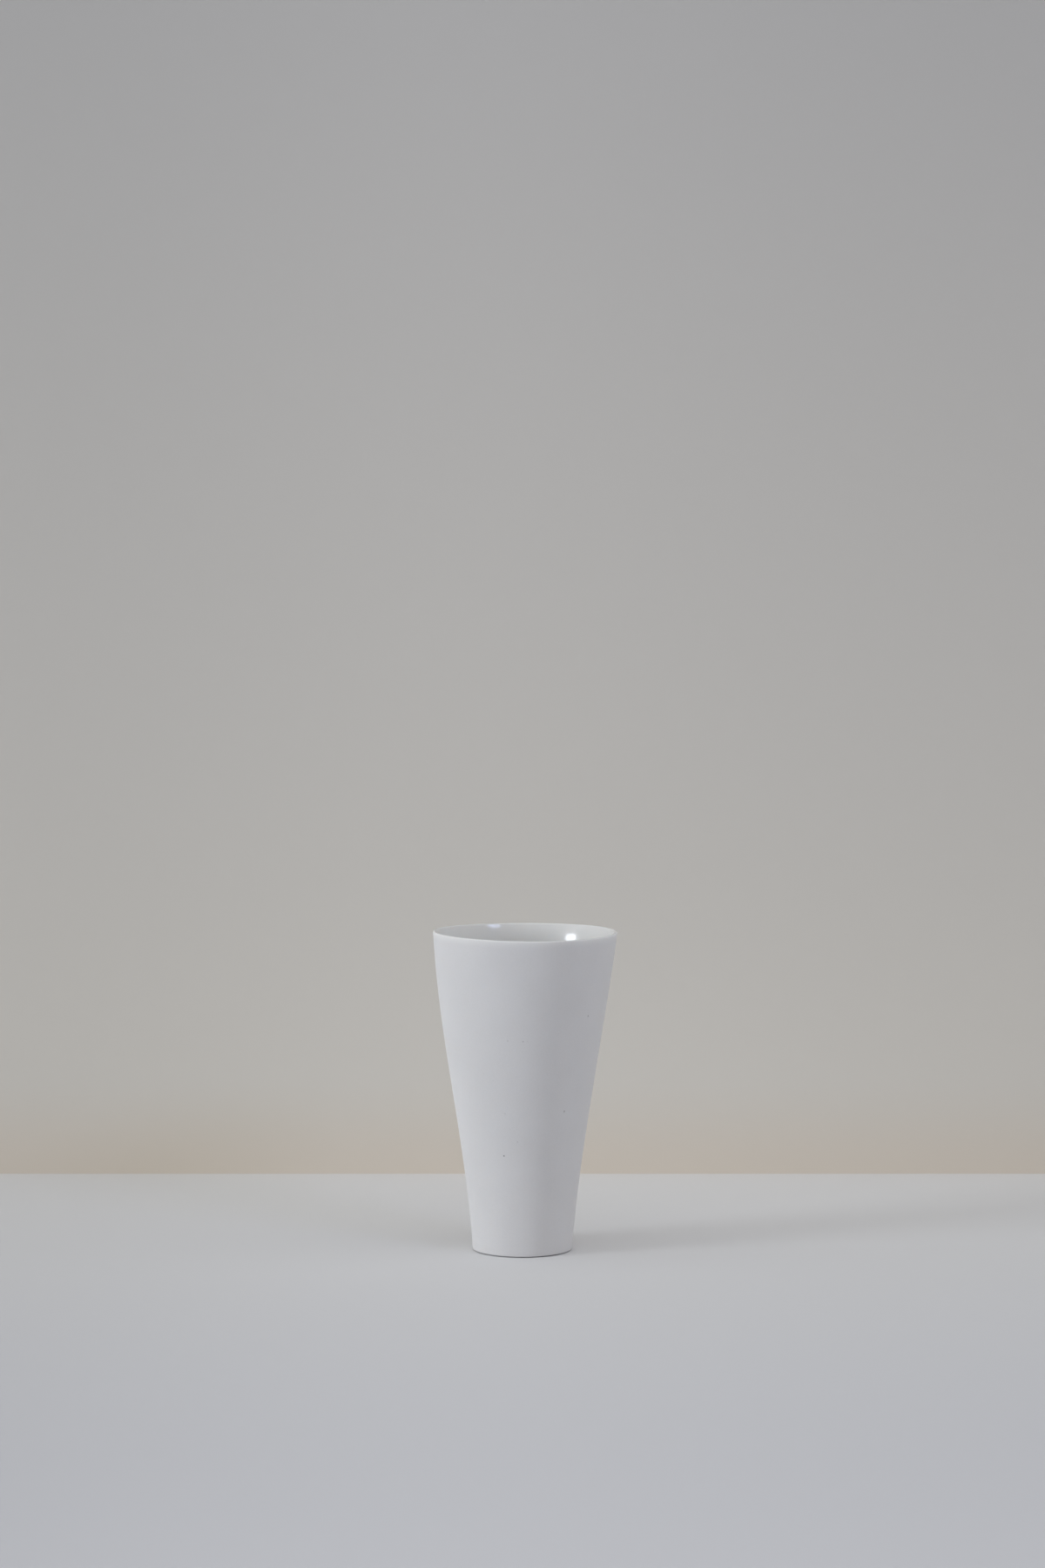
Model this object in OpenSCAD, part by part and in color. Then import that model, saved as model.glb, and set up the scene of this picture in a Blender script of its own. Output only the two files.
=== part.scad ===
// Tapered porcelain tumbler, cast as one piece.
// One section is turned about the upright axis. The outside leaves the foot almost upright, opens out
// through the body and straightens again towards the lip. The wall is even, and thins on its inner side
// just below the thin, rounded lip. The foot's outer edge is eased over a low bevel, so it stands clear of the
// ground in a thin line.

/* [Cup] */
// Height from the plane it stands on to the crest of the lip
height = 136; // [100:1:180]
// Outside diameter at the lip, where the wall runs into its rounding
rim_d = 78; // [64:0.5:100]
// Outside diameter just above the eased edge of the foot
foot_d = 42.5; // [34:0.5:56]

/* [Wall curve] */
// Lean of the wall from upright where it leaves the foot, in degrees
foot_lean = 4; // [0:0.5:8]
// Lean of the wall from upright where it reaches the lip, in degrees
lip_lean = 5; // [0:0.5:8]

/* [Section] */
// Thickness of the wall, measured level
wall_t = 2.2; // [1.8:0.1:4]
// Thickness of the rounded lip
lip_t = 1.2; // [0.8:0.1:1.7]
// Height over which the inner side of the wall thins towards the lip
lip_taper_h = 8; // [4:0.5:25]
// Thickness of the floor above the recess
floor_t = 3.6; // [2.5:0.1:6]
// Radius of the corner between the inner floor and the wall
corner_r = 8; // [3:0.5:12]

/* [Foot] */
// Radius that eases the outer edge of the foot
foot_edge_r = 0.4; // [0.2:0.1:1]
// How far in from the outside of the wall the bevel under that edge meets the ground
foot_bevel_w = 2; // [1:0.1:3]
// Rise of the bevel from the ground, in degrees
foot_bevel_rise = 14; // [8:1:30]
// Width of the foot, from the outside of the wall to the recess
foot_ring_w = 4.5; // [4:0.5:7]
// Depth of the recess inside the foot ring
recess_h = 1; // [0.4:0.1:2]

/* [Hidden] */
porcelain = [0.87, 0.88, 0.90];
// Straight steps in each side of the wall, and in each rounded stretch
wall_steps = 16;
round_steps = 6;
$fn = 144;

rim_r = rim_d / 2;
foot_r = foot_d / 2;
lip_r = lip_t / 2;
floor_z = recess_h + floor_t;

// Circle that eases the foot's edge: it touches the bevel and runs on into the wall
foot_edge_in = foot_edge_r * cos(foot_lean);
foot_edge_c = [
    foot_r - foot_edge_in,
    (foot_edge_r + (foot_bevel_w - foot_edge_in) * sin(foot_bevel_rise)) / cos(foot_bevel_rise)
];
wall_z0 = foot_edge_c[1] - foot_edge_r * sin(foot_lean);

// Circle that rounds the lip: it runs on from the wall and reaches the full height
lip_c = [rim_r - lip_r * cos(lip_lean), height - lip_r];
wall_z1 = lip_c[1] - lip_r * sin(lip_lean);
wall_h = wall_z1 - wall_z0;

// Share of the wall's height at level z
function rise_share(z) = (z - wall_z0) / wall_h;

// Outside radius at a share of the wall's height: a cubic with both end radii and both end leans
function outer_r(s) =
    foot_r * (1 - s) ^ 3
    + (3 * foot_r + wall_h * tan(foot_lean)) * (1 - s) ^ 2 * s
    + (3 * rim_r - wall_h * tan(lip_lean)) * (1 - s) * s ^ 2
    + rim_r * s ^ 3;

// Slope of the outside there, as radius gained for each unit of height
function outer_slope(s) =
    tan(foot_lean) * (1 - s) ^ 2
    + (6 * (rim_r - foot_r) / wall_h - 2 * tan(foot_lean) - 2 * tan(lip_lean)) * (1 - s) * s
    + tan(lip_lean) * s ^ 2;

// Where the lip's circle runs on into the thinned stretch, whose inner side leans further out
inner_lip_lean = lip_lean + atan(2 * (wall_t - lip_t) / lip_taper_h);
inner_lip = lip_c + lip_r * [-cos(inner_lip_lean), sin(inner_lip_lean)];
lip_share = rise_share(inner_lip[1]);
taper_share = lip_taper_h / wall_h;
lip_w = outer_r(lip_share) - inner_lip[0];

// Inside radius: an even wall, and a parabola that takes it in to the width at the lip
function thinned_share(s) = max(0, 1 - (lip_share - s) / taper_share) ^ 2;
function inner_r(s) = outer_r(s) - wall_t + (wall_t - lip_w) * thinned_share(s);

// Circle of the inner corner: it touches the floor and runs on into the inside of the wall
corner_lean = atan(outer_slope(rise_share(floor_z + corner_r)));
corner_z = floor_z + corner_r * (1 - sin(corner_lean));
corner_c = [inner_r(rise_share(corner_z)) - corner_r * cos(corner_lean), floor_z + corner_r];

// Points of an arc about c, from angle a to angle b
function arc(c, r, a, b) =
    [for (i = [0:round_steps]) let (t = a + (b - a) * i / round_steps) c + r * [cos(t), sin(t)]];

// Even steps from one share to another, without the two ends
function between(from_share, to_share, steps) =
    [for (i = [1:steps - 1]) from_share + (to_share - from_share) * i / steps];

// Points up the outside of the wall, between the foot's edge and the lip
function outside() =
    [for (s = between(0, 1, wall_steps)) [outer_r(s), wall_z0 + wall_h * s]];

// Points down the inside of the wall, from the lip through the thinned stretch to the inner corner
function inside() =
    let (thin_share = lip_share - taper_share, corner_share = rise_share(corner_z))
    [for (s = concat(
            between(lip_share, thin_share, round_steps),
            thin_share,
            between(thin_share, corner_share, wall_steps)))
        [inner_r(s), wall_z0 + wall_h * s]];

// Underside: the recess with sides at 45 degrees, then the flat ring that the cup stands on
function underside() =
    let (recess_r = foot_r - foot_ring_w)
    [[0, recess_h], [recess_r - recess_h, recess_h], [recess_r, 0], [foot_r - foot_bevel_w, 0]];

// Half of the section, from the middle of the underside round to the middle of the inner floor
module section() {
    polygon(concat(
        underside(),
        arc(foot_edge_c, foot_edge_r, foot_bevel_rise - 90, -foot_lean),
        outside(),
        arc(lip_c, lip_r, -lip_lean, 90),
        arc(lip_c, lip_r, 90, 180 - inner_lip_lean),
        inside(),
        arc(corner_c, corner_r, -corner_lean, -90),
        [[0, floor_z]]
    ));
}

module tumbler() {
    color(porcelain)
    rotate_extrude() section();
}

tumbler();
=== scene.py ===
"""Porcelain tumbler, cast thin and fired as one piece: bare and matte outside, clear-glazed inside.

The wall is the solid's own section, turned in fine steps and bent a little, as firing bends a thin wall.
One material carries the bare body, the glaze that laps over the lip, the dark specks and the ground foot;
the glazed colour is partly painted light, brightening the inside and glowing just under the lip.
"""

import math

import bpy
import numpy as np
from bpy.props import FloatProperty, FloatVectorProperty, PointerProperty
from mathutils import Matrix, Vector


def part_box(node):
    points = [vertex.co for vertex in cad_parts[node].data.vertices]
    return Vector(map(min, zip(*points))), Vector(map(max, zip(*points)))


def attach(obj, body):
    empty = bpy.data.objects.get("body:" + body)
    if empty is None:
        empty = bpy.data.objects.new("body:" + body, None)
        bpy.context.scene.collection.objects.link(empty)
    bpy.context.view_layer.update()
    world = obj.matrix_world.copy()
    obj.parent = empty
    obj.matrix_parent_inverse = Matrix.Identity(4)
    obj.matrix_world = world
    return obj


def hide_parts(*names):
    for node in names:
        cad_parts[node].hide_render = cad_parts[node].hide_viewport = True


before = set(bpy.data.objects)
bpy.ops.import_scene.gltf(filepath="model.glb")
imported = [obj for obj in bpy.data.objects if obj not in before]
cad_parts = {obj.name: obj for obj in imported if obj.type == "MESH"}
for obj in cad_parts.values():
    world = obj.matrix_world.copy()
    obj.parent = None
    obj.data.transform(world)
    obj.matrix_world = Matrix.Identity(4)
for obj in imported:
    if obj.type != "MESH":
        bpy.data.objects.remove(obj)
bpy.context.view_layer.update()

bl_info = {
    "name": "Porcelain tumbler",
    "version": (1, 0, 0),
    "blender": (4, 5, 0),
    "location": "3D View > Sidebar > Tumbler",
    "description": "Builds a thin porcelain tumbler with its finish, and the stage that it stands on",
    "category": "Add Mesh",
}

NODE = "tumbler"
BODY = "root"
MM = 0.001
LOW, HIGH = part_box(NODE)

# Fineness of the turned mesh: columns round the axis, and steps along each run of the section
COLUMNS = 224
WALL_STEPS = 128
TAPER_STEPS = 24
ROUND_STEPS = 12
FLAT_STEPS = 8

# Slow waves of the fired wall: how many to the turn, slide with the height, start, and share of the ripple
RIPPLE_WAVES = ((3, 5, 0.4, 0.6), (5, -9, 2.0, 0.4))

# Level of the deepest glaze above the inner floor, as a share of the inner corner's radius
POOL_LEVEL_SHARE = 1 / 3

# Edge of the glaze: scale, octaves and reach of its wander, then half the width of its fade and its tint's.
# Past the crest outside, the tint's lighter colour is partly painted light, a glow of the thin lip
WANDER_SCALE = 70.0
WANDER_DETAIL = 2.0
WANDER_REACH = 0.3 * MM
EDGE_FADE = 0.25 * MM
TINT_AND_GLOW_FADE = 2.5 * MM

# Grain of the bare body: scale and octaves of its fine part and of its slow part, and the fine one's share
GRAIN_SCALE = 1800.0
GRAIN_DETAIL = 4.0
SLOW_SCALE_SHARE = 0.03
SLOW_DETAIL = 3.0
FINE_SHARE = 0.5

# Tones of the grain that count, the shades that they give the colour, and how far they move the roughness
GRAIN_TONES = (0.3, 0.7)
GRAIN_SHADES = (0.975, 1.015)
GRAIN_ROUGHNESS = 0.05

# Relief of the grain, and its even level under the glaze
GRAIN_BUMP = 0.25
GRAIN_DEPTH = 0.05 * MM
GLAZED_LEVEL = 0.5

# Levels between which the body gives way to the foot's ground ring, and the roughness there and under glaze
GROUND_LEVELS = (0.10 * MM, 0.03 * MM)
GROUND_ROUGHNESS = 0.45
UNDER_GLAZE_ROUGHNESS = 0.35

# Shader values that are the same all over
PORCELAIN_EVEN = {
    "Specular IOR Level": 0.4,
    "Diffuse Roughness": 0.5,
    "Subsurface Radius": (0.9, 1.0, 1.1),
    "Subsurface Scale": 3.0 * MM,
}
FLOOR_EVEN = {"Roughness": 0.7, "Specular IOR Level": 0.2}
WALL_EVEN = {"Roughness": 0.8, "Specular IOR Level": 0.1}

# Dark specks on the side that faces the camera: degrees round from the front, height, diameter and strength
FRONT_SPECKS = (
    (-17.3, 44.0 * MM, 0.90 * MM, 0.75),
    (37.3, 62.5 * MM, 1.35 * MM, 0.30),
    (51.0, 102.7 * MM, 1.15 * MM, 0.40),
    (-10.6, 93.6 * MM, 0.86 * MM, 0.22),
    (0.3, 93.4 * MM, 0.84 * MM, 0.30),
    (3.5, 93.4 * MM, 0.70 * MM, 0.13),
    (-4.5, 50.2 * MM, 0.70 * MM, 0.28),
    (-14.7, 62.2 * MM, 1.00 * MM, 0.14),
    (-23.4, 76.3 * MM, 0.80 * MM, 0.09),
    (-30.7, 79.0 * MM, 0.70 * MM, 0.09),
)

# Share of a speck's radius over which it is full
SPECK_CORE_SHARE = 0.35

# Specks over the rest: cells to a metre, outer and full radius, strength, and the depth they fade in over
SPREAD_CELLS = 115.0
SPREAD_RADII = (0.35 * MM, 0.1 * MM)
SPREAD_STRENGTH = 0.45
SPREAD_FADE = 4 * MM

# Reach of the floor each way from the axis, reach of the backdrop to each side, and its height
FLOOR_REACH = 4.0
WALL_REACH = 1.6
WALL_HEIGHT = 1.4

# Where the floor's near colour starts, and the levels of the backdrop's middle and high colours; both
# gradings are painted light and shade
FLOOR_NEAR_Y = -0.45
WALL_MID_Z = 0.05
WALL_HIGH_Z = 0.55

# Painted shade of the stage: distance to each side at which it is darkest, and the share of its colour that
# is left there
SHADE_REACH = 0.26
SHADE_LEFT_SHARE = 0.885
SHADE_RIGHT_SHARE = 0.965

# Distance of both windows from the axis, and how much of its width times its height each shape fills
WINDOW_AWAY = 3.0
AREA_SHARES = {"RECTANGLE": 1.0, "ELLIPSE": math.pi / 4}

# Each window's shape, degrees round from the front, lowest and highest degrees, degrees across, and colour
LEFT_WINDOW = ("RECTANGLE", -66.8, 0, 17.5, 15.6, (0.937, 0.991, 1.05))
RIGHT_WINDOW = ("ELLIPSE", 45, 23.5, 31, 20, (0.65, 0.77, 1.14))

# Light of the room, by unit ways: where its dim front ends, where its overhead part starts, and their tints
FRONT_END = 0.1
ABOVE_START = 0.2
SIDE_TINT = (1.012, 0.972, 0.905)
ABOVE_TINT = (0.97, 0.987, 0.998)


class TumblerSizes(bpy.types.PropertyGroup):
    """Sizes of the turned section"""

    height: FloatProperty(
        name="Height", description="From the plane it stands on to the crest of the lip",
        default=HIGH.z - LOW.z, unit="LENGTH")
    rim_d: FloatProperty(
        name="Lip diameter", description="Outside, where the wall runs into the lip's rounding",
        default=HIGH.x - LOW.x, unit="LENGTH")
    foot_d: FloatProperty(
        name="Foot diameter", description="Outside, just above the eased edge of the foot",
        default=42.5 * MM, unit="LENGTH")
    foot_lean: FloatProperty(
        name="Lean at the foot", description="Of the wall from upright, where it leaves the foot",
        default=math.radians(4), subtype="ANGLE")
    lip_lean: FloatProperty(
        name="Lean at the lip", description="Of the wall from upright, where it reaches the lip",
        default=math.radians(5), subtype="ANGLE")
    wall_t: FloatProperty(
        name="Wall", description="Thickness of the wall, measured level",
        default=2.2 * MM, unit="LENGTH")
    lip_t: FloatProperty(
        name="Lip", description="Thickness of the rounded lip",
        default=1.2 * MM, unit="LENGTH")
    lip_taper_h: FloatProperty(
        name="Thinned stretch", description="Height over which the inner side thins towards the lip",
        default=8 * MM, unit="LENGTH")
    floor_t: FloatProperty(
        name="Floor", description="Thickness of the floor above the recess",
        default=3.6 * MM, unit="LENGTH")
    corner_r: FloatProperty(
        name="Inner corner", description="Radius between the inner floor and the wall",
        default=8 * MM, unit="LENGTH")
    foot_edge_r: FloatProperty(
        name="Foot edge", description="Radius that eases the outer edge of the foot",
        default=0.4 * MM, unit="LENGTH")
    foot_bevel_w: FloatProperty(
        name="Foot bevel", description="How far in from the outside the bevel meets the ground",
        default=2 * MM, unit="LENGTH")
    foot_bevel_rise: FloatProperty(
        name="Rise of the bevel", description="Of the foot's bevel from the ground",
        default=math.radians(14), subtype="ANGLE")
    foot_ring_w: FloatProperty(
        name="Foot ring", description="Width from the outside of the wall to the recess",
        default=4.5 * MM, unit="LENGTH")
    recess_h: FloatProperty(
        name="Recess", description="Depth of the recess inside the foot ring",
        default=1 * MM, unit="LENGTH")
    recess_edge_r: FloatProperty(
        name="Recess edges", description="Radius that eases both edges of the recess",
        default=0.3 * MM, unit="LENGTH")


class FiringBend(bpy.types.PropertyGroup):
    """How far firing moved the thin wall from its true turned shape"""

    start_z: FloatProperty(
        name="Start of the bend", description="Level above which the wall leaves its true shape",
        default=80 * MM, unit="LENGTH")
    lip_drift: FloatProperty(
        name="Drift of the lip", description="Sideways, to the right as the front is seen",
        default=1.2 * MM, unit="LENGTH")
    lip_lift: FloatProperty(
        name="Lift of the lip", description="How far the lip stands above its true level",
        default=0.09 * MM, unit="LENGTH")
    lip_tilt: FloatProperty(
        name="Tilt of the lip", description="Of the lip's plane",
        default=math.radians(0.33), subtype="ANGLE")
    tilt_turn: FloatProperty(
        name="Way of the tilt", description="Where the lip is lowest, round from the front to the right",
        default=math.radians(70), subtype="ANGLE")
    lip_oval: FloatProperty(
        name="Oval of the lip", description="How far each side of the lip stands out from round",
        default=0.2 * MM, unit="LENGTH")
    lip_saddle: FloatProperty(
        name="Saddle of the lip", description="How far the lip's sides rise, and its front and back sink",
        default=0.23 * MM, unit="LENGTH")
    saddle_turn: FloatProperty(
        name="Way of the saddle", description="Where it sinks most, round from the front to the right",
        default=math.radians(12), subtype="ANGLE")
    ripple: FloatProperty(
        name="Ripple", description="Height of the slow waves in the wall, at the lip",
        default=0.05 * MM, unit="LENGTH")


class PorcelainFinish(bpy.types.PropertyGroup):
    """Colours and surface of the fired porcelain"""

    body: FloatVectorProperty(
        name="Bare body", description="Colour of the unglazed outside",
        default=(0.743, 0.7345, 0.7405), size=3, min=0, max=1, subtype="COLOR")
    # Partly painted light: the under-glaze colour is lighter than the bare body in part to brighten the
    # inside of the cup
    glazed: FloatVectorProperty(
        name="Under glaze", description="Colour of the body where clear glaze lies over it",
        default=(0.862, 0.86, 0.852), size=3, min=0, max=1, subtype="COLOR")
    pooled: FloatVectorProperty(
        name="Pooled glaze", description="Colour where the glaze ran together round the inner floor",
        default=(0.66, 0.70, 0.695), size=3, min=0, max=1, subtype="COLOR")
    speck: FloatVectorProperty(
        name="Specks", description="Colour of the iron specks",
        default=(0.13, 0.12, 0.115), size=3, min=0, max=1, subtype="COLOR")
    ground: FloatVectorProperty(
        name="Ground foot", description="Colour of the ring that was ground flat",
        default=(0.66, 0.66, 0.66), size=3, min=0, max=1, subtype="COLOR")
    glaze_lap: FloatProperty(
        name="Lap of the glaze", description="How far past the crest of the lip the glaze runs outside",
        default=0.3 * MM, unit="LENGTH")
    # Partly painted light: the lighter glazed colour lapping past the crest also paints the glow of the
    # thin lip
    tint_and_glow_lap: FloatProperty(
        name="Lap of the tint", description="How far past the lip's crest the glazed colour is half gone",
        default=1.3 * MM, unit="LENGTH")
    body_roughness: FloatProperty(
        name="Roughness of the body", description="Of the bare, fine-grained body",
        default=0.62, min=0, max=1, subtype="FACTOR")
    glaze_roughness: FloatProperty(
        name="Roughness of the glaze", description="Of the clear coat inside",
        default=0.12, min=0, max=1, subtype="FACTOR")
    translucence: FloatProperty(
        name="Translucence", description="Share of the light that scatters inside the body",
        default=0.35, min=0, max=1, subtype="FACTOR")


class StageSettings(bpy.types.PropertyGroup):
    """Floor, backdrop, light and camera"""

    # Painted shade: the floor's near colour is darker and bluer than its far one, standing in for how the
    # light falls
    floor_near: FloatVectorProperty(
        name="Floor, near", description="Colour of the floor in front of the cup",
        default=(0.66, 0.663, 0.692), size=3, min=0, max=1, subtype="COLOR")
    floor_far: FloatVectorProperty(
        name="Floor, far", description="Colour of the floor at the backdrop",
        default=(0.80, 0.798, 0.80), size=3, min=0, max=1, subtype="COLOR")
    # Painted light: the backdrop's colours grade from warm bounce light at the floor to less light towards
    # the top
    wall_low: FloatVectorProperty(
        name="Backdrop, low", description="Colour of the backdrop at the floor",
        default=(0.732, 0.66, 0.572), size=3, min=0, max=1, subtype="COLOR")
    wall_mid: FloatVectorProperty(
        name="Backdrop, middle", description="Colour of the backdrop just above the floor",
        default=(0.732, 0.697, 0.64), size=3, min=0, max=1, subtype="COLOR")
    wall_high: FloatVectorProperty(
        name="Backdrop, high", description="Colour of the backdrop at the top of the picture",
        default=(0.575, 0.56, 0.543), size=3, min=0, max=1, subtype="COLOR")
    wall_y: FloatProperty(
        name="Backdrop", description="How far behind the axis the backdrop stands",
        default=0.193, unit="LENGTH")
    key: FloatProperty(
        name="Left window", description="Brightness of the soft light on the left",
        default=15.0, min=0)
    fill: FloatProperty(
        name="Right window", description="Brightness of the soft light on the right",
        default=6.4, min=0)
    room_above: FloatProperty(
        name="Room, above", description="Brightness of the even light from overhead",
        default=1.0, min=0)
    room_left: FloatProperty(
        name="Room, left", description="Brightness of the even light from the left",
        default=0.19, min=0)
    room_right: FloatProperty(
        name="Room, right", description="Brightness of the even light from the right",
        default=0.575, min=0)
    room_front: FloatProperty(
        name="Room, front", description="Share of that light that comes from behind the camera",
        default=0.44, min=0, max=1, subtype="FACTOR")
    lens: FloatProperty(
        name="Lens", description="Focal length, with 36 mm along the long side of the picture, in mm",
        default=85.0, min=1)
    camera_back: FloatProperty(
        name="Camera distance", description="In front of the axis",
        default=1.5665, unit="LENGTH")
    camera_height: FloatProperty(
        name="Camera height", description="Above the floor",
        default=0.2943, unit="LENGTH")
    camera_dip: FloatProperty(
        name="Camera dip", description="Below the horizon",
        default=math.radians(3.486), subtype="ANGLE")


# Shape of the wall


def arc(centre, radius, start, end):
    """Points of an arc: the centre plus the radius times (cosine, sine), in even steps of the angle."""
    turn = np.linspace(start, end, ROUND_STEPS)
    return np.column_stack((centre[0] + radius * np.cos(turn), centre[1] + radius * np.sin(turn)))


def joined(*runs):
    """Runs of points end to end, where each starts at the point that the last one ended at."""
    return np.concatenate([runs[0]] + [run[1:] for run in runs[1:]])


def foot_edge_centre(sizes):
    """Centre of the circle that touches the foot's bevel and runs on into the wall."""
    inset = sizes.foot_edge_r * math.cos(sizes.foot_lean)
    rise = sizes.foot_bevel_rise
    level = (sizes.foot_edge_r + (sizes.foot_bevel_w - inset) * math.sin(rise)) / math.cos(rise)
    return sizes.foot_d / 2 - inset, level


def wall_levels(sizes):
    """Levels where the wall leaves the foot's eased edge and where it runs into the lip's rounding."""
    lip_r = sizes.lip_t / 2
    bottom = foot_edge_centre(sizes)[1] - sizes.foot_edge_r * math.sin(sizes.foot_lean)
    top = sizes.height - lip_r * (1 + math.sin(sizes.lip_lean))
    return bottom, top


def outside_radius(sizes, share):
    """Outside radius at a share of the wall's height: a cubic with both end radii and both end leans."""
    foot_r, rim_r = sizes.foot_d / 2, sizes.rim_d / 2
    bottom, top = wall_levels(sizes)
    rise = top - bottom
    rest = 1 - share
    return (foot_r * rest ** 3
            + (3 * foot_r + rise * math.tan(sizes.foot_lean)) * rest ** 2 * share
            + (3 * rim_r - rise * math.tan(sizes.lip_lean)) * rest * share ** 2
            + rim_r * share ** 3)


def section(sizes):
    """Half section of the cup as rows of radius and level, from under the middle round to the inner floor.

    The outside is the cubic above. The inside is the outside less the wall, plus a parabola that thins the
    wall towards the lip. Arcs ease the recess and the foot, round the lip and turn the inner corner.
    """
    foot_r, rim_r, lip_r = sizes.foot_d / 2, sizes.rim_d / 2, sizes.lip_t / 2
    bottom, top = wall_levels(sizes)
    rise = top - bottom
    floor_z = sizes.recess_h + sizes.floor_t

    lip_c = (rim_r - lip_r * math.cos(sizes.lip_lean), sizes.height - lip_r)
    inner_lean = sizes.lip_lean + math.atan(2 * (sizes.wall_t - sizes.lip_t) / sizes.lip_taper_h)
    lip_share = (lip_c[1] + lip_r * math.sin(inner_lean) - bottom) / rise
    lip_w = outside_radius(sizes, lip_share) - (lip_c[0] - lip_r * math.cos(inner_lean))
    taper_share = sizes.lip_taper_h / rise

    def inside(share):
        """Rows of the inside at shares of the wall's height."""
        thinned = np.maximum(0, 1 - (lip_share - share) / taper_share) ** 2
        radius = outside_radius(sizes, share) - sizes.wall_t + (sizes.wall_t - lip_w) * thinned
        return np.column_stack((radius, bottom + rise * share))

    step = 1 / WALL_STEPS
    corner_share = (floor_z + sizes.corner_r - bottom) / rise
    gained = outside_radius(sizes, corner_share + step) - outside_radius(sizes, corner_share - step)
    corner_lean = math.atan(gained / (2 * step * rise))
    corner_start = (floor_z + sizes.corner_r * (1 - math.sin(corner_lean)) - bottom) / rise
    corner_r_at = inside(np.array([corner_start]))[0, 0]
    corner_c = (corner_r_at - sizes.corner_r * math.cos(corner_lean), floor_z + sizes.corner_r)

    # The side of the recess leans at 45 degrees, and each edge of it is an eighth of a circle
    recess_r = foot_r - sizes.foot_ring_w
    ease_r = sizes.recess_edge_r
    ease = ease_r * math.tan(math.pi / 8)
    roof_c = (recess_r - sizes.recess_h - ease, sizes.recess_h - ease_r)
    roof_ease = arc(roof_c, ease_r, math.pi / 2, math.pi / 4)
    ring_ease = arc((recess_r + ease, ease_r), ease_r, -3 * math.pi / 4, -math.pi / 2)
    foot_ease = arc(foot_edge_centre(sizes), sizes.foot_edge_r,
                    sizes.foot_bevel_rise - math.pi / 2, -sizes.foot_lean)
    bevel_start = (foot_r - sizes.foot_bevel_w, 0)
    shares = np.linspace(0, 1, WALL_STEPS)
    corner = arc(corner_c, sizes.corner_r, -corner_lean, -math.pi / 2)
    return joined(
        np.linspace((0, sizes.recess_h), roof_ease[0], FLAT_STEPS),
        roof_ease,
        np.linspace(roof_ease[-1], ring_ease[0], FLAT_STEPS),
        ring_ease,
        np.linspace(ring_ease[-1], bevel_start, FLAT_STEPS),
        np.linspace(bevel_start, foot_ease[0], FLAT_STEPS),
        foot_ease,
        np.column_stack((outside_radius(sizes, shares), bottom + rise * shares)),
        arc(lip_c, lip_r, -sizes.lip_lean, math.pi / 2),
        arc(lip_c, lip_r, math.pi / 2, math.pi - inner_lean),
        inside(np.linspace(lip_share, lip_share - taper_share, TAPER_STEPS)),
        inside(np.linspace(lip_share - taper_share, corner_start, WALL_STEPS)),
        corner,
        np.linspace(corner[-1], (0, floor_z), FLAT_STEPS),
    )


def fired(points, sizes, bend):
    """Points as firing moved them, by the square of their share of the rise above the start of the bend.

    By that share the wall drifts sideways and goes oval, and its level rises by the lift and drops by a
    tilt, which goes as the cosine of the turn, and a saddle, which goes as the cosine of twice the turn.
    Slow sine waves round the wall, sliding with the height, move it out and in by its share of the height.
    """
    x, y, z = points.T
    share = np.clip((z - bend.start_z) / (sizes.height - bend.start_z), 0, 1) ** 2
    turn = np.arctan2(x, -y)
    climb = z / sizes.height
    wave = sum(part * np.sin(count * turn + slide * climb + start)
               for count, slide, start, part in RIPPLE_WAVES)
    swell = bend.ripple * climb * wave
    reach = np.hypot(x, y)
    grown = 1 + swell / np.maximum(reach, sizes.lip_t)
    oval = bend.lip_oval / (sizes.rim_d / 2) * share
    drop = reach * math.tan(bend.lip_tilt) * np.cos(turn - bend.tilt_turn)
    drop += bend.lip_saddle * np.cos(2 * (turn - bend.saddle_turn)) - bend.lip_lift
    return np.column_stack((
        x * (grown + oval) + bend.lip_drift * share,
        y * (grown - oval),
        z - drop * share,
    ))


def turned(profile):
    """A profile carried round the upright axis: radius times sine and cosine of even turns, at its level.

    Both ends of the profile lie on the axis, so each is one vertex with a fan of triangles round it.
    Column 0 is at the front, and each face's corners run so that it points out of the body.
    """
    rings = profile[1:-1]
    turn = np.arange(COLUMNS) * (2 * math.pi / COLUMNS)
    radius, level = rings[:, :1], rings[:, 1:]
    levels = np.broadcast_to(level, (len(rings), COLUMNS))
    grid = np.stack((radius * np.sin(turn), -radius * np.cos(turn), levels), -1)
    ends = np.array([(0, 0, profile[0, 1]), (0, 0, profile[-1, 1])])
    points = np.concatenate((grid.reshape(-1, 3), ends))

    index = np.arange(len(rings) * COLUMNS).reshape(len(rings), COLUMNS)
    beside = np.roll(index, -1, axis=1)
    quads = np.stack((index[:-1], beside[:-1], beside[1:], index[1:]), -1).reshape(-1, 4)
    under, over = np.full(COLUMNS, index.size), np.full(COLUMNS, index.size + 1)
    fans = np.concatenate((
        np.stack((under, beside[0], index[0]), -1),
        np.stack((index[-1], beside[-1], over), -1),
    ))
    return points, quads, fans


def on_points(mesh, name, per_profile):
    """Gives each vertex the value of its point of the profile, as a named attribute."""
    values = np.concatenate((np.repeat(per_profile[1:-1], COLUMNS), per_profile[[0, -1]]))
    attribute = mesh.attributes.new(name, "FLOAT", "POINT")
    attribute.data.foreach_set("value", values.astype(np.float32))


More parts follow.
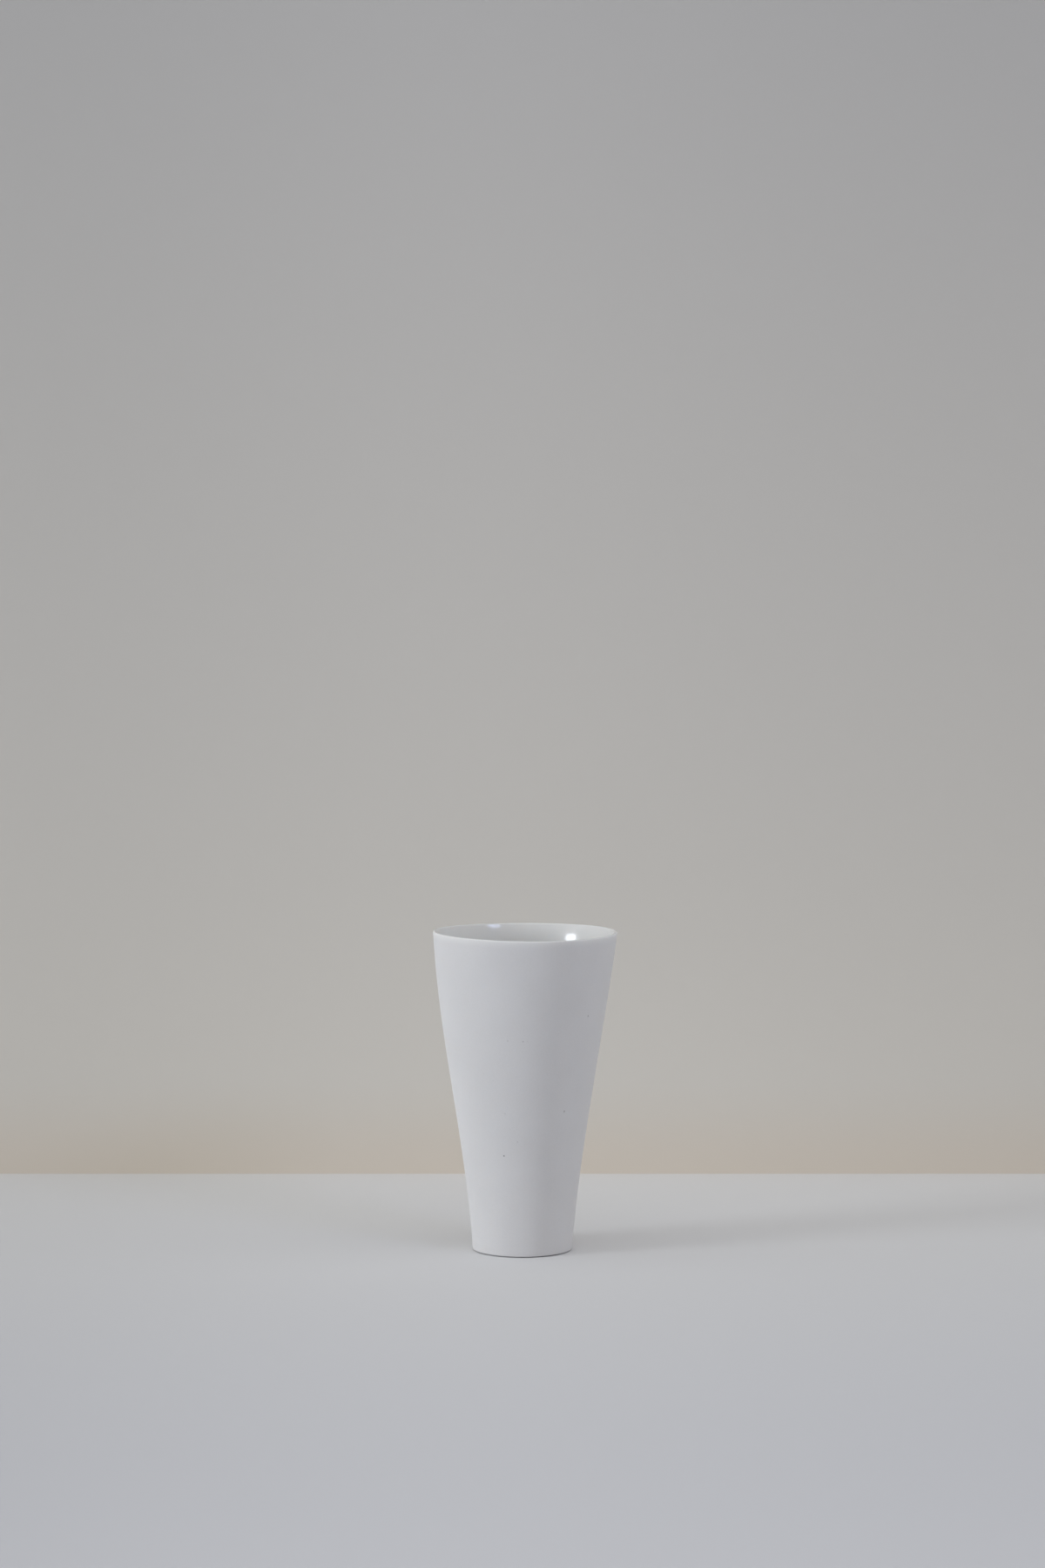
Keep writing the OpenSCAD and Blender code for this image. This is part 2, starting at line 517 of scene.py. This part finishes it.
def tumbler_mesh(sizes, bend):
    """The turned and fired wall, with two values on its points.

    past_lip is the distance along the section from the crest of the lip, positive inside.
    pooled is 1 in the middle of the inner corner and falls off as a bell curve, one corner radius wide.
    """
    profile = section(sizes)
    points, quads, fans = turned(profile)
    mesh = bpy.data.meshes.new("tumbler_body")
    mesh.from_pydata(fired(points, sizes, bend).tolist(), [], quads.tolist() + fans.tolist())
    steps = np.hypot(*np.diff(profile, axis=0).T)
    along = np.concatenate(([0], np.cumsum(steps)))
    past_lip = along - along[profile[:, 1].argmax()]
    pool_z = sizes.recess_h + sizes.floor_t + sizes.corner_r * POOL_LEVEL_SHARE
    corner_at = past_lip[(past_lip > 0) & (profile[:, 1] > pool_z)].max()
    on_points(mesh, "past_lip", past_lip)
    on_points(mesh, "pooled", np.exp(-((past_lip - corner_at) / sizes.corner_r) ** 2))
    mesh.shade_smooth()
    mesh.update()
    return mesh


# Nodes


def plug(tree, socket, value):
    """Links a socket into an input, or sets the input to a plain value."""
    if isinstance(value, bpy.types.NodeSocket):
        tree.links.new(value, socket)
    else:
        socket.default_value = value


def node(tree, kind, inputs=None, **settings):
    """Adds a node, sets its settings and fills its inputs by name or number."""
    made = tree.nodes.new(kind)
    for name, value in settings.items():
        setattr(made, name, value)
    for key, value in (inputs or {}).items():
        plug(tree, made.inputs[key], value)
    return made


def number(tree, operation, *values):
    """The result of one sum on two or three numbers."""
    return node(tree, "ShaderNodeMath", dict(enumerate(values)), operation=operation).outputs[0]


def ramp(tree, value, start, end, low=0.0, high=1.0):
    """A value's smooth climb from low at start to high at end."""
    return node(tree, "ShaderNodeMapRange", {
        "Value": value, "From Min": start, "From Max": end, "To Min": low, "To Max": high,
    }, interpolation_type="SMOOTHSTEP").outputs[0]


def noise(tree, place, scale, detail):
    """Smooth noise from 0 to 1, with this many octaves of finer noise on it."""
    return node(tree, "ShaderNodeTexNoise", {"Vector": place, "Scale": scale, "Detail": detail}).outputs[0]


def mixed(tree, share, first, second):
    """Two colours mixed by a share, from 0 for the first to 1 for the second.

    The Mix node takes colours in its inputs 6 and 7, and gives one in its output 2.
    """
    made = node(tree, "ShaderNodeMix", {"Factor": share, 6: first, 7: second}, data_type="RGBA")
    return made.outputs[2]


def mixed_number(tree, share, first, second):
    """Two numbers mixed by a share, from 0 for the first to 1 for the second.

    The Mix node takes numbers in its inputs 2 and 3, and gives one in its output 0.
    """
    made = node(tree, "ShaderNodeMix", {"Factor": share, 2: first, 3: second}, data_type="FLOAT")
    return made.outputs[0]


def shaded(tree, colour, shade):
    """A colour times a number."""
    return node(tree, "ShaderNodeVectorMath", {0: colour, 1: shade}, operation="MULTIPLY").outputs[0]


def axes_of(tree, place):
    """The X, Y and Z parts of a place or a way."""
    return node(tree, "ShaderNodeSeparateXYZ", {0: place}).outputs


def new_material(name, even):
    """A new material, its tree, its shader with its even values set, and the place on the object."""
    material = bpy.data.materials.new(name)
    material.use_nodes = True
    tree = material.node_tree
    shader = tree.nodes["Principled BSDF"]
    for socket, value in even.items():
        shader.inputs[socket].default_value = value
    return material, tree, shader, node(tree, "ShaderNodeTexCoord").outputs["Object"]


def new_group(name, inputs, outputs):
    """A shader node group with named sockets, and its two end nodes."""
    tree = bpy.data.node_groups.new(name, "ShaderNodeTree")
    for label, kind in inputs:
        tree.interface.new_socket(label, in_out="INPUT", socket_type=kind)
    for label, kind in outputs:
        tree.interface.new_socket(label, in_out="OUTPUT", socket_type=kind)
    return tree, tree.nodes.new("NodeGroupInput").outputs, tree.nodes.new("NodeGroupOutput").inputs


# Porcelain


def speck_group():
    """One soft round speck: its strength over its middle, and nothing past its radius."""
    tree, given, result = new_group(
        "round speck",
        [("Place", "NodeSocketVector"), ("Centre", "NodeSocketVector"),
         ("Radius", "NodeSocketFloat"), ("Strength", "NodeSocketFloat")],
        [("Mask", "NodeSocketFloat")])
    away = node(tree, "ShaderNodeVectorMath", {0: given["Place"], 1: given["Centre"]}, operation="DISTANCE")
    core = number(tree, "MULTIPLY", given["Radius"], SPECK_CORE_SHARE)
    mask = ramp(tree, away.outputs["Value"], given["Radius"], core)
    plug(tree, result["Mask"], number(tree, "MULTIPLY", mask, given["Strength"]))
    return tree


def grain_group():
    """Fine grain of the bare body: a tone for its colour and a height for its bump, each about 0 to 1."""
    tree, given, result = new_group(
        "fired grain",
        [("Place", "NodeSocketVector"), ("Scale", "NodeSocketFloat")],
        [("Tone", "NodeSocketFloat"), ("Height", "NodeSocketFloat")])
    slow_scale = number(tree, "MULTIPLY", given["Scale"], SLOW_SCALE_SHARE)
    fine = noise(tree, given["Place"], given["Scale"], GRAIN_DETAIL)
    slow = noise(tree, given["Place"], slow_scale, SLOW_DETAIL)
    plug(tree, result["Tone"], mixed_number(tree, FINE_SHARE, slow, fine))
    plug(tree, result["Height"], fine)
    return tree


def porcelain(sizes, bend, finish):
    """Fired porcelain: bare outside, glazed inside and over the lip, ground under the foot, with specks,
    and painted light in the lighter glazed colour inside and just under the lip.
    """
    material, tree, shader, place = new_material("porcelain", {
        **PORCELAIN_EVEN,
        "Coat Roughness": finish.glaze_roughness,
        "Subsurface Weight": finish.translucence,
    })
    axes = axes_of(tree, place)
    past_lip = node(tree, "ShaderNodeAttribute", attribute_name="past_lip").outputs["Fac"]
    pooled = node(tree, "ShaderNodeAttribute", attribute_name="pooled").outputs["Fac"]

    # The glaze ends past the lip's crest in a soft, slightly wandering line, and its tint fades more
    # slowly; that lighter tint outside the crest is partly painted light, the glow of the thin lip
    wander = noise(tree, place, WANDER_SCALE, WANDER_DETAIL)
    edge = number(tree, "MULTIPLY_ADD", wander, 2 * WANDER_REACH, -finish.glaze_lap - WANDER_REACH)
    past_edge = number(tree, "SUBTRACT", past_lip, edge)
    glaze = ramp(tree, past_edge, -EDGE_FADE, EDGE_FADE)
    tint_and_glow = ramp(tree, past_lip, -finish.tint_and_glow_lap - TINT_AND_GLOW_FADE, -finish.tint_and_glow_lap + TINT_AND_GLOW_FADE)
    ground = ramp(tree, axes["Z"], *GROUND_LEVELS)

    grain = node(tree, "ShaderNodeGroup", node_tree=grain_group())
    plug(tree, grain.inputs["Place"], place)
    plug(tree, grain.inputs["Scale"], GRAIN_SCALE)
    tone = grain.outputs["Tone"]

    body = mixed(tree, ground, (*finish.body, 1), (*finish.ground, 1))
    # Glazed colour, partly painted light that brightens the inside, and darker where the glaze pooled
    glaze_and_light_colour = mixed(tree, pooled, (*finish.glazed, 1), (*finish.pooled, 1))
    colour = mixed(tree, tint_and_glow, body, glaze_and_light_colour)
    colour = shaded(tree, colour, ramp(tree, tone, *GRAIN_TONES, *GRAIN_SHADES))
    specks = speck_mask(tree, place, axes["Y"], sizes, bend)
    plug(tree, shader.inputs["Base Color"], mixed(tree, specks, colour, (*finish.speck, 1)))

    smoothest = finish.body_roughness - GRAIN_ROUGHNESS
    roughest = finish.body_roughness + GRAIN_ROUGHNESS
    rough = ramp(tree, tone, *GRAIN_TONES, smoothest, roughest)
    rough = mixed_number(tree, ground, rough, GROUND_ROUGHNESS)
    plug(tree, shader.inputs["Roughness"], mixed_number(tree, glaze, rough, UNDER_GLAZE_ROUGHNESS))
    plug(tree, shader.inputs["Coat Weight"], glaze)
    relief = mixed_number(tree, glaze, grain.outputs["Height"], GLAZED_LEVEL)
    bump = node(tree, "ShaderNodeBump", {"Height": relief, "Strength": GRAIN_BUMP, "Distance": GRAIN_DEPTH})
    plug(tree, shader.inputs["Normal"], bump.outputs["Normal"])
    return material


def speck_mask(tree, place, depth, sizes, bend):
    """Specks given one by one on the front, and others as thinly spread over the rest of the body.

    The spread ones are where a cell point of a Voronoi pattern happens to lie within the surface.
    """
    bottom, top = wall_levels(sizes)
    group = speck_group()
    cells = node(tree, "ShaderNodeTexVoronoi", {"Vector": place, "Scale": SPREAD_CELLS}).outputs["Distance"]
    outer, full = (radius * SPREAD_CELLS for radius in SPREAD_RADII)
    spread = ramp(tree, cells, outer, full, 0.0, SPREAD_STRENGTH)
    mask = number(tree, "MULTIPLY", spread, ramp(tree, depth, 0.0, SPREAD_FADE))
    for degrees, height, diameter, strength in FRONT_SPECKS:
        turn = math.radians(degrees)
        radius = outside_radius(sizes, (height - bottom) / (top - bottom))
        spot = np.array([(radius * math.sin(turn), -radius * math.cos(turn), height)])
        speck = node(tree, "ShaderNodeGroup", node_tree=group)
        plug(tree, speck.inputs["Place"], place)
        plug(tree, speck.inputs["Centre"], fired(spot, sizes, bend)[0])
        plug(tree, speck.inputs["Radius"], diameter / 2)
        plug(tree, speck.inputs["Strength"], strength)
        mask = number(tree, "MAXIMUM", mask, speck.outputs["Mask"])
    return mask


# Stage


def plain_sheet(name, corners, material):
    """A flat sheet with these four corners, counter-clockwise as seen from its front."""
    mesh = bpy.data.meshes.new(name)
    mesh.from_pydata(corners, [], [(0, 1, 2, 3)])
    mesh.update()
    mesh.materials.append(material)
    sheet = bpy.data.objects.new(name, mesh)
    bpy.context.scene.collection.objects.link(sheet)
    return sheet


def painted_side_shade(tree, place, colour):
    """Painted shade: a colour that is a little darker towards both sides, and most towards the left, as the
    light falls off there.
    """
    across = axes_of(tree, place)["X"]
    left = ramp(tree, across, -SHADE_REACH, 0.0, SHADE_LEFT_SHARE, 1.0)
    right = ramp(tree, across, SHADE_REACH, 0.0, SHADE_RIGHT_SHARE, 1.0)
    return shaded(tree, colour, number(tree, "MULTIPLY", left, right))


def floor_paint(settings):
    """Pale, matte and plain, from the near colour in front to the far one at the backdrop: painted shade
    that darkens and cools the front.
    """
    material, tree, shader, place = new_material("floor paint", FLOOR_EVEN)
    away = ramp(tree, axes_of(tree, place)["Y"], FLOOR_NEAR_Y, settings.wall_y)
    colour = mixed(tree, away, (*settings.floor_near, 1), (*settings.floor_far, 1))
    plug(tree, shader.inputs["Base Color"], painted_side_shade(tree, place, colour))
    return material


def wall_paint(settings):
    """Matte, from the low colour at the floor to the high one, and open to view from behind. The grading is
    painted light: warm bounce near the floor and less light towards the top.
    """
    material, tree, shader, place = new_material("wall paint", WALL_EVEN)
    level = axes_of(tree, place)["Z"]
    low = ramp(tree, level, 0.0, WALL_MID_Z)
    climb = node(tree, "ShaderNodeMapRange", {
        "Value": level, "From Min": WALL_MID_Z, "From Max": WALL_HIGH_Z,
    }).outputs[0]
    colour = mixed(tree, low, (*settings.wall_low, 1), (*settings.wall_mid, 1))
    colour = mixed(tree, climb, colour, (*settings.wall_high, 1))
    plug(tree, shader.inputs["Base Color"], painted_side_shade(tree, place, colour))
    behind = node(tree, "ShaderNodeNewGeometry").outputs["Backfacing"]
    clear = node(tree, "ShaderNodeBsdfTransparent").outputs[0]
    shown = node(tree, "ShaderNodeMixShader", {0: behind, 1: shader.outputs[0], 2: clear})
    plug(tree, tree.nodes["Material Output"].inputs["Surface"], shown.outputs[0])
    return material


def soft_lamp(name, shape, place, aim, width, height, brightness, colour):
    """A flat lamp of even brightness, turned to face a point and hidden from the camera."""
    lamp = bpy.data.lights.new(name, "AREA")
    lamp.shape = shape
    lamp.size = width
    lamp.size_y = height
    lamp.energy = brightness * math.pi * width * height * AREA_SHARES[shape]
    lamp.color = colour
    holder = bpy.data.objects.new(name, lamp)
    bpy.context.scene.collection.objects.link(holder)
    holder.location = place
    holder.rotation_euler = (Vector(aim) - Vector(place)).to_track_quat("-Z", "Y").to_euler()
    holder.visible_camera = False
    return holder


def window(name, brightness, shape, azimuth, low, high, spread, colour):
    """An upright lamp round the cup, by the angles that it takes up as seen from the lip, in degrees."""
    turn = math.radians(azimuth)
    bottom = HIGH.z + WINDOW_AWAY * math.tan(math.radians(low))
    top = HIGH.z + WINDOW_AWAY * math.tan(math.radians(high))
    middle = (bottom + top) / 2
    place = (WINDOW_AWAY * math.sin(turn), -WINDOW_AWAY * math.cos(turn), middle)
    width = 2 * WINDOW_AWAY * math.tan(math.radians(spread / 2))
    return soft_lamp(name, shape, place, (0, 0, middle), width, top - bottom, brightness, colour)


def room_light(settings):
    """Even light from all round: brighter overhead and towards the right, and dimmer in front."""
    world = bpy.data.worlds.new("room")
    world.use_nodes = True
    tree = world.node_tree
    axes = axes_of(tree, node(tree, "ShaderNodeTexCoord").outputs["Generated"])
    side = ramp(tree, axes["X"], -1.0, 1.0, settings.room_left, settings.room_right)
    facing = ramp(tree, axes["Y"], -1.0, FRONT_END, settings.room_front, 1.0)
    above = ramp(tree, axes["Z"], ABOVE_START, 1.0)
    bright = mixed_number(tree, above, number(tree, "MULTIPLY", side, facing), settings.room_above)
    background = tree.nodes["Background"].inputs
    plug(tree, background["Strength"], bright)
    plug(tree, background["Color"], mixed(tree, above, (*SIDE_TINT, 1), (*ABOVE_TINT, 1)))
    return world


def still_camera(settings):
    """A camera in front of the axis, dipped below the horizon."""
    camera = bpy.data.objects.new("camera", bpy.data.cameras.new("camera"))
    bpy.context.scene.collection.objects.link(camera)
    camera.data.lens = settings.lens
    camera.location = (0, -settings.camera_back, settings.camera_height)
    camera.rotation_euler = (math.pi / 2 - settings.camera_dip, 0, 0)
    return camera


# Operators and panel


class OBJECT_OT_tumbler_body(bpy.types.Operator):
    """Builds the tumbler's wall, from the section's sizes, with its porcelain finish"""

    bl_idname = "object.tumbler_body"
    bl_label = "Tumbler"

    def execute(self, context):
        scene = context.scene
        sizes, bend = scene.tumbler_sizes, scene.firing_bend
        body = bpy.data.objects.new("tumbler_body", tumbler_mesh(sizes, bend))
        scene.collection.objects.link(body)
        body.data.materials.append(porcelain(sizes, bend, scene.porcelain_finish))
        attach(body, BODY)
        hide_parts(NODE)
        return {"FINISHED"}


class OBJECT_OT_tumbler_stage(bpy.types.Operator):
    """Sets the floor, the backdrop, the soft light and the camera round the tumbler"""

    bl_idname = "object.tumbler_stage"
    bl_label = "Stage"

    def execute(self, context):
        scene = context.scene
        settings = scene.stage_settings
        floor = plain_sheet("floor", [
            (-FLOOR_REACH, -FLOOR_REACH, 0), (FLOOR_REACH, -FLOOR_REACH, 0),
            (FLOOR_REACH, FLOOR_REACH, 0), (-FLOOR_REACH, FLOOR_REACH, 0),
        ], floor_paint(settings))
        wall = plain_sheet("backdrop", [
            (-WALL_REACH, settings.wall_y, 0), (WALL_REACH, settings.wall_y, 0),
            (WALL_REACH, settings.wall_y, WALL_HEIGHT), (-WALL_REACH, settings.wall_y, WALL_HEIGHT),
        ], wall_paint(settings))

        window("left window", settings.key, *LEFT_WINDOW)
        window("right window", settings.fill, *RIGHT_WINDOW)
        scene.world = room_light(settings)
        scene.camera = still_camera(settings)
        scene.view_settings.view_transform = "Standard"
        return {"FINISHED"}


class VIEW3D_PT_tumbler(bpy.types.Panel):
    """Sizes, finish and stage of the tumbler"""

    bl_label = "Porcelain tumbler"
    bl_space_type = "VIEW_3D"
    bl_region_type = "UI"
    bl_category = "Tumbler"

    def draw(self, context):
        scene = context.scene
        for operator, groups in (
                (OBJECT_OT_tumbler_body, (scene.tumbler_sizes, scene.firing_bend, scene.porcelain_finish)),
                (OBJECT_OT_tumbler_stage, (scene.stage_settings,))):
            box = self.layout.box()
            box.operator(operator.bl_idname)
            for group in groups:
                for name in group.__annotations__:
                    box.prop(group, name)


SETTINGS = {
    "tumbler_sizes": TumblerSizes,
    "firing_bend": FiringBend,
    "porcelain_finish": PorcelainFinish,
    "stage_settings": StageSettings,
}
CLASSES = (*SETTINGS.values(), OBJECT_OT_tumbler_body, OBJECT_OT_tumbler_stage, VIEW3D_PT_tumbler)


def register():
    """Registers the classes, and hangs one group of each kind of setting on the scene."""
    for kind in CLASSES:
        bpy.utils.register_class(kind)
    for name, kind in SETTINGS.items():
        setattr(bpy.types.Scene, name, PointerProperty(type=kind))


def unregister():
    """Takes the settings off the scene and unregisters the classes."""
    for name in SETTINGS:
        delattr(bpy.types.Scene, name)
    for kind in reversed(CLASSES):
        bpy.utils.unregister_class(kind)


def main():
    """Builds the tumbler and its stage."""
    register()
    bpy.ops.object.tumbler_body()
    bpy.ops.object.tumbler_stage()


if __name__ == "__main__":
    main()
